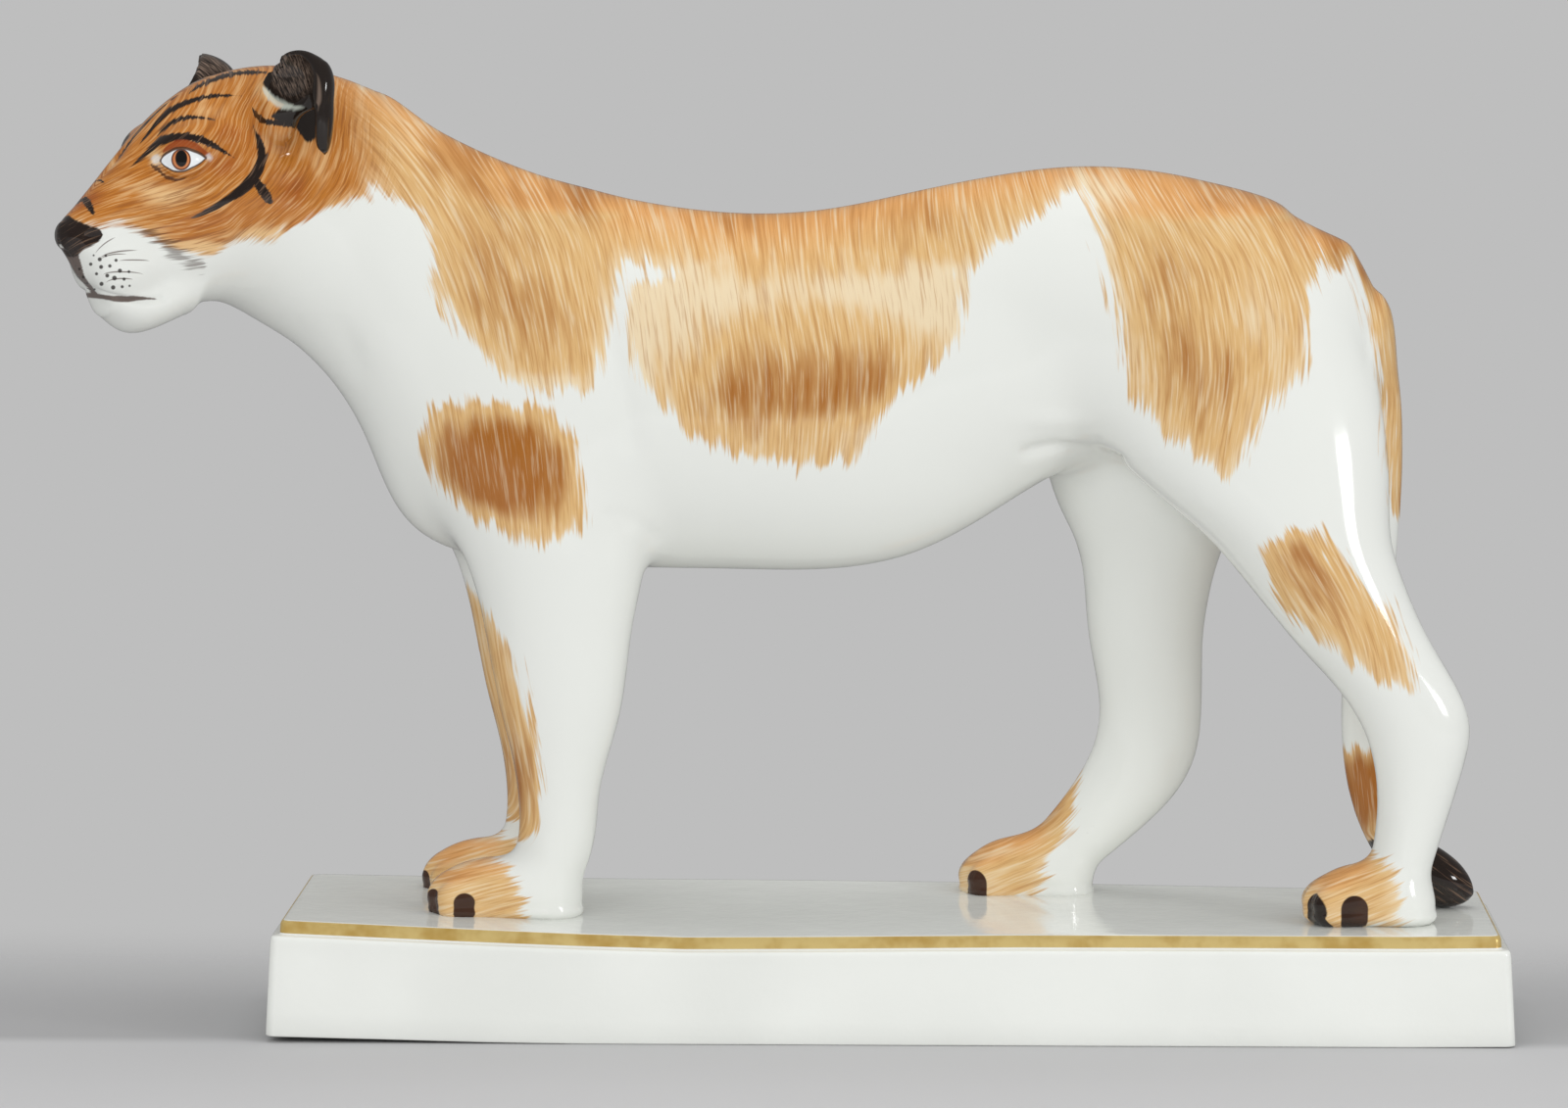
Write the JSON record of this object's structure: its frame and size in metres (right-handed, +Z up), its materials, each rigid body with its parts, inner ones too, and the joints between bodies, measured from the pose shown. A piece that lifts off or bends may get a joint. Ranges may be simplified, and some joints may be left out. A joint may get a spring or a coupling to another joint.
{
  "type": "lioness figurine",
  "caption": "Glazed white porcelain figurine of a walking lioness, painted coat and striped face, on a long stepped hollow plinth with a gilt band.",
  "frame": {"origin": "bottom centre of the bounding box, on the plane that the plinth stands on", "axes": "+Z up, -X towards the nose, +X towards the tail, -Y towards the lioness's left side, which the picture shows"},
  "size_m": [0.7672, 0.1868, 0.5192],
  "materials": {
    "glazed_porcelain": "gloss"
  },
  "bodies": {
    "root": {"lioness_figure": "glazed_porcelain"}
  },
  "joints": []
}
